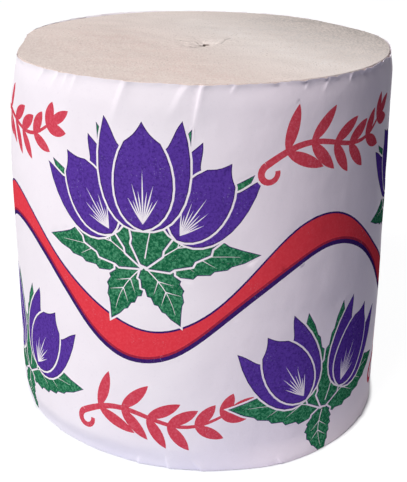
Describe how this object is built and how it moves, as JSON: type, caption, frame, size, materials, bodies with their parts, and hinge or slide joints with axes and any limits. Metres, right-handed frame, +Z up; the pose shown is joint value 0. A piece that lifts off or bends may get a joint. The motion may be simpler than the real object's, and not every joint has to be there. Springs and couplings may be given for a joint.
{
  "type": "toilet paper roll",
  "caption": "Coreless roll of wound soft paper in a glued band of printed wrapping paper, standing on its end.",
  "frame": {"origin": "middle of the end that the roll stands on", "axes": "+Z up along the roll's axis; -Y towards the viewer in the picture; +X to the viewer's right"},
  "size_m": [0.0917, 0.0931, 0.0904],
  "materials": {
    "soft_paper": "matt crepe",
    "wrapping_paper": "smooth, printed on the outside"
  },
  "bodies": {
    "root": {"paper_roll": "soft_paper", "wrapper": "wrapping_paper"}
  },
  "joints": []
}
